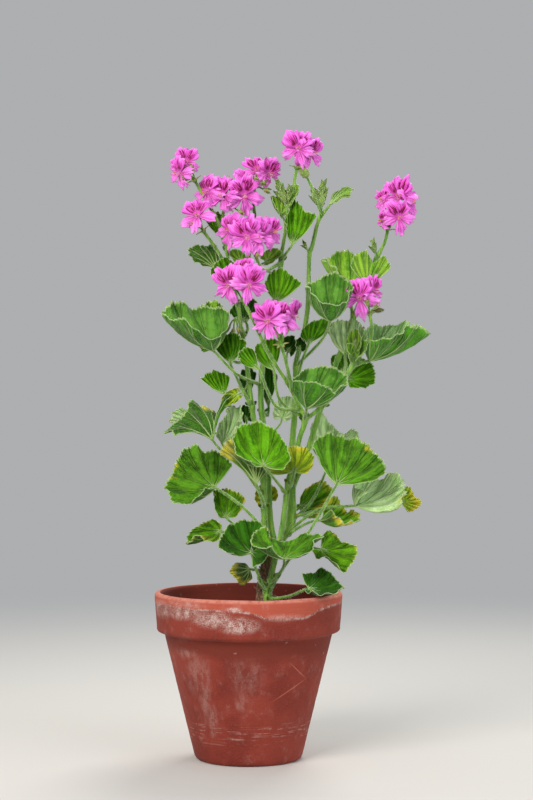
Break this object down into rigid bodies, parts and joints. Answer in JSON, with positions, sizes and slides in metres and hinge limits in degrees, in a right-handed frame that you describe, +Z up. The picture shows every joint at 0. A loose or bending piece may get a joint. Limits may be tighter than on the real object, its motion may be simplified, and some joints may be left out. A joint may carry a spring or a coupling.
{
  "type": "potted regal pelargonium in flower",
  "caption": "Potted geranium in flower: weathered terracotta pot of potting mix, short woody trunk, green branching stems, fan-shaped leaves, and heads of pink flowers feathered in crimson.",
  "frame": {"origin": "centre of the round underside of the pot", "axes": "+Z up along the pot's axis, -Y towards the side the plant is mainly seen from, +X to the right of that view, the way the plant leans"},
  "size_m": [0.2714, 0.188, 0.6195],
  "materials": {
    "terracotta": "unglazed terracotta, thrown, weathered with pale lime bloom, matt",
    "potting_mix": "moist peat and bark potting mix, matt",
    "bark": "corky brown bark of a woody stem base, matt",
    "green_stem": "soft green herbaceous stem with fine hairs, matt",
    "leaf_green": "fresh green leaf, softly hairy, satin",
    "leaf_pale": "pale underside of a leaf, matt",
    "leaf_ageing": "green leaf with a yellowing edge, satin",
    "flowers": "pink petals with dark crimson feathering, soft and matt",
    "bud": "green hairy sepals closed over a bud, matt"
  },
  "bodies": {
    "root": {"flower_bud": "bud", "flower_head_01": "flowers", "flower_head_02": "flowers", "flower_head_03": "flowers", "flower_head_04": "flowers", "flower_head_05": "flowers", "flower_head_06": "flowers", "flower_head_07": "flowers", "flower_head_08": "flowers", "flower_head_09": "flowers", "flower_head_10": "flowers", "leaf_01": "leaf_green", "leaf_02": "leaf_green", "leaf_03": "leaf_green", "leaf_04": "leaf_green", "leaf_05": "leaf_ageing", "leaf_06": "leaf_pale", "leaf_08": "leaf_green", "leaf_09": "leaf_green", "leaf_10": "leaf_ageing", "leaf_12": "leaf_ageing", "leaf_13": "leaf_green", "leaf_14": "leaf_pale", "leaf_16": "leaf_pale", "leaf_17": "leaf_ageing", "leaf_18": "leaf_ageing", "leaf_19": "leaf_ageing", "leaf_20": "leaf_ageing", "leaf_21": "leaf_green", "leaf_22": "leaf_green", "leaf_23": "leaf_ageing", "leaf_25": "leaf_ageing", "leaf_26": "leaf_ageing", "leaf_28": "leaf_green", "leaf_29": "leaf_green", "leaf_31": "leaf_green", "leaf_33": "leaf_green", "leaf_34": "leaf_green", "leaf_36": "leaf_green", "leaf_37": "leaf_green", "leaf_40": "leaf_green", "leaf_41": "leaf_green", "leaf_42": "leaf_green", "leaf_43": "leaf_green", "leaf_47": "leaf_green", "leaf_48": "leaf_pale", "leaf_51": "leaf_green", "leaf_52": "leaf_green", "leaf_54": "leaf_green", "leaf_55": "leaf_green", "leaf_56": "leaf_green", "leaf_61": "leaf_green", "leaf_62": "leaf_green", "pot": "terracotta", "potting_mix": "potting_mix", "stem_centre": "green_stem", "stem_front": "green_stem", "stem_left": "green_stem", "stem_rear": "green_stem", "woody_trunk": "bark"}
  },
  "joints": []
}
